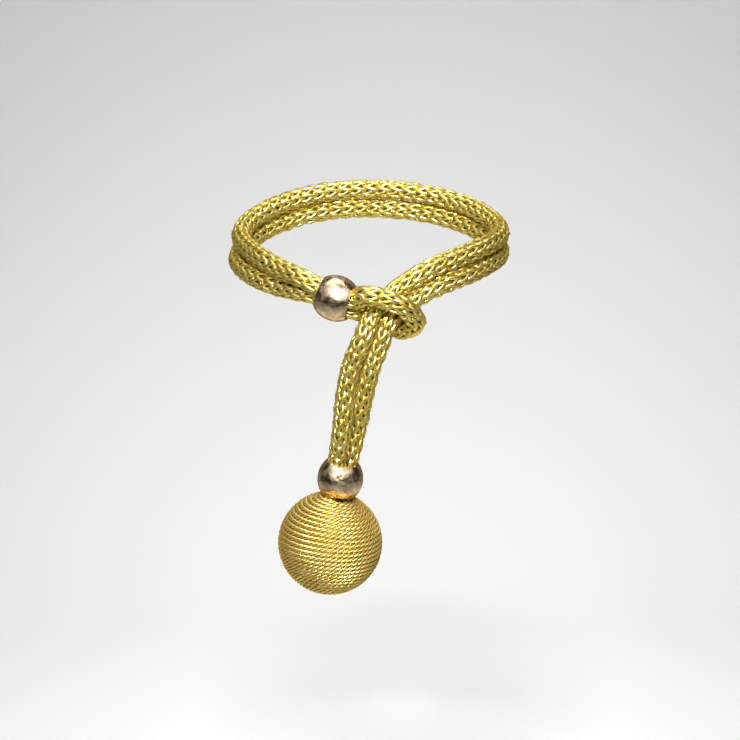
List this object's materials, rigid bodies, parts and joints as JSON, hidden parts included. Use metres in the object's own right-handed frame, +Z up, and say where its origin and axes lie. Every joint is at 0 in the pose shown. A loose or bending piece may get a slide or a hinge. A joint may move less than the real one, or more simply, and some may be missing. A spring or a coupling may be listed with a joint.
{
  "type": "curtain tieback tassel",
  "caption": "Folded knitted rope closed in a loop round a gathered curtain by its own small fold loop, with round metal beads and a wound cord ball hanging from it.",
  "frame": {"origin": "middle of the rope loop that holds the gathered curtain", "axes": "+Z up along the curtain; the crossing, the beads and the hanging ball are at the front, towards -Y; +X to the right seen from the front"},
  "size_m": [0.1221, 0.1416, 0.153],
  "materials": {
    "knitted_rope": "knitted metallic gold yarn, soft sheen",
    "wound_cord": "twisted metallic gold cord, wound in close turns",
    "bead_metal": "polished pale rose-gold plating"
  },
  "bodies": {
    "root": {"rope": "knitted_rope", "bead_lower": "bead_metal", "bead_upper": "bead_metal", "ball": "wound_cord"}
  },
  "joints": []
}
